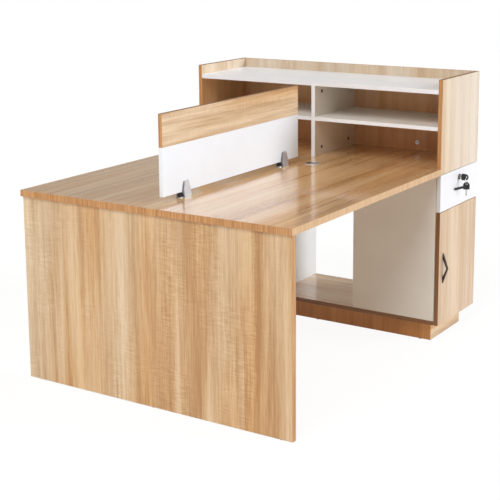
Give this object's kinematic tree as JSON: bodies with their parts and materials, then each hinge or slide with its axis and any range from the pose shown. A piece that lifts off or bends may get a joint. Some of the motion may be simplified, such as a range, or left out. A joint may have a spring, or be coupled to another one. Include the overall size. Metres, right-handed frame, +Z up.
{
  "type": "two-person workstation desk",
  "caption": "Face-to-face workstation desk in light wood decor with a shelf unit on white pedestals, lockable side drawers, cupboards, a privacy screen and cable grommets.",
  "frame": {"origin": "on the floor, under the centre of the bounding box", "axes": "+X to the right across the desk for someone who faces the shelf unit, +Y from the end panel towards the shelf unit, +Z up"},
  "size_m": [1.2922, 1.56, 1.115],
  "materials": {
    "wood_decor": "satin light oak decor on particleboard",
    "white_decor": "satin white decor on particleboard",
    "fibreboard": "smooth light fibreboard",
    "beech": "fluted beech",
    "zinc_steel": "zinc plated",
    "nickel_steel": "nickel plated",
    "cast_zinc": "satin silver",
    "chrome": "polished",
    "black_steel": "black semi gloss",
    "black_plastic": "black",
    "white_plastic": "white"
  },
  "bodies": {
    "desk": {"worktop": "wood_decor", "end_panel": "wood_decor", "centre_rail": "wood_decor", "bay_rail": "wood_decor", "angle_brackets": "zinc_steel", "hutch_sides": "wood_decor", "hutch_back": "wood_decor", "top_shelf": "white_decor", "hutch_divider": "white_decor", "mid_shelves": "white_decor", "connector_cams": "zinc_steel", "cam_caps": "white_plastic", "screen_lower": "white_decor", "screen_upper": "wood_decor", "screen_dowels": "beech", "screen_clips": "cast_zinc", "clip_screws": "black_steel", "grommet_rings": "chrome", "plinth_boards": "wood_decor", "glides": "black_plastic", "bottom_board": "wood_decor", "pedestal_fronts": "white_decor", "pedestal_inner_sides": "white_decor", "pedestal_backs": "white_decor", "drawer_decks": "white_decor", "lock_rails": "white_decor", "cupboard_shelves": "white_decor", "shelf_pins": "zinc_steel", "runner_cabinet_members": "zinc_steel", "hinge_arms": "nickel_steel"},
    "grommet_cap_right": {"grommet_cap_right": "chrome"},
    "grommet_cap_left": {"grommet_cap_left": "chrome"},
    "drawer_right": {"drawer_front_right": "white_decor", "drawer_box_right": "white_decor", "drawer_bottom_right": "fibreboard", "runner_inner_right": "zinc_steel", "lock_housing_right": "black_steel"},
    "drawer_left": {"drawer_front_left": "white_decor", "drawer_box_left": "white_decor", "drawer_bottom_left": "fibreboard", "runner_inner_left": "zinc_steel", "lock_housing_left": "black_steel"},
    "runner_slide_right": {"runner_middle_right": "zinc_steel"},
    "runner_slide_left": {"runner_middle_left": "zinc_steel"},
    "lock_right": {"lock_plug_right": "chrome", "key_right": "black_plastic"},
    "lock_left": {"lock_plug_left": "chrome", "key_left": "black_plastic"},
    "key_set_right": {"key_ring_right": "zinc_steel", "spare_key_right": "black_plastic"},
    "key_set_left": {"key_ring_left": "zinc_steel", "spare_key_left": "black_plastic"},
    "door_right": {"door_right": "wood_decor", "handle_right": "black_steel", "hinge_cups_right": "nickel_steel"},
    "door_left": {"door_left": "wood_decor", "handle_left": "black_steel", "hinge_cups_left": "nickel_steel"},
    "hinge_link_right": {"hinge_links_right": "nickel_steel"},
    "hinge_link_left": {"hinge_links_left": "nickel_steel"}
  },
  "joints": [
    {"name": "drawer_slide_right", "type": "slide", "parent": "desk", "child": "drawer_right", "axis": [1, 0, 0], "range_m": [0, 0.3]},
    {"name": "runner_slide_right", "type": "slide", "parent": "desk", "child": "runner_slide_right", "axis": [1, 0, 0], "range_m": [0, 0.15]},
    {"name": "lock_turn_right", "type": "hinge", "parent": "drawer_right", "child": "lock_right", "pos_m": [0.6, 0.59, 0.688], "axis": [1, 0, 0], "range_deg": [0, 90]},
    {"name": "key_swing_right", "type": "hinge", "parent": "lock_right", "child": "key_set_right", "pos_m": [0.6326, 0.59, 0.68401], "axis": [0, 1, 0], "range_deg": [-60, 0]},
    {"name": "link_turn_right", "type": "hinge", "parent": "desk", "child": "hinge_link_right", "pos_m": [0.58322, 0.75499, 0.32525], "axis": [0, 0, 1], "range_deg": [-36, 0]},
    {"name": "door_hinge_right", "type": "hinge", "parent": "hinge_link_right", "child": "door_right", "pos_m": [0.586, 0.77075, 0.32525], "axis": [0, 0, 1], "range_deg": [0, 132]},
    {"name": "grommet_turn_right", "type": "hinge", "parent": "desk", "child": "grommet_cap_right", "pos_m": [0.085, 0.25, 0.75], "axis": [0, 0, 1], "continuous": true},
    {"name": "drawer_slide_left", "type": "slide", "parent": "desk", "child": "drawer_left", "axis": [-1, 0, 0], "range_m": [0, 0.3]},
    {"name": "runner_slide_left", "type": "slide", "parent": "desk", "child": "runner_slide_left", "axis": [-1, 0, 0], "range_m": [0, 0.15]},
    {"name": "lock_turn_left", "type": "hinge", "parent": "drawer_left", "child": "lock_left", "pos_m": [-0.6, 0.59, 0.688], "axis": [1, 0, 0], "range_deg": [0, 90]},
    {"name": "key_swing_left", "type": "hinge", "parent": "lock_left", "child": "key_set_left", "pos_m": [-0.6326, 0.59, 0.68401], "axis": [0, 1, 0], "range_deg": [0, 60]},
    {"name": "link_turn_left", "type": "hinge", "parent": "desk", "child": "hinge_link_left", "pos_m": [-0.58322, 0.75499, 0.32525], "axis": [0, 0, -1], "range_deg": [-36, 0]},
    {"name": "door_hinge_left", "type": "hinge", "parent": "hinge_link_left", "child": "door_left", "pos_m": [-0.586, 0.77075, 0.32525], "axis": [0, 0, -1], "range_deg": [0, 132]},
    {"name": "grommet_turn_left", "type": "hinge", "parent": "desk", "child": "grommet_cap_left", "pos_m": [-0.085, 0.25, 0.75], "axis": [0, 0, 1], "continuous": true}
  ],
  "couplings": [
    {"joint": "link_turn_right", "follows": "door_hinge_right", "ratio": -0.25},
    {"joint": "runner_slide_right", "follows": "drawer_slide_right", "ratio": 0.5},
    {"joint": "link_turn_left", "follows": "door_hinge_left", "ratio": -0.25},
    {"joint": "runner_slide_left", "follows": "drawer_slide_left", "ratio": 0.5}
  ]
}
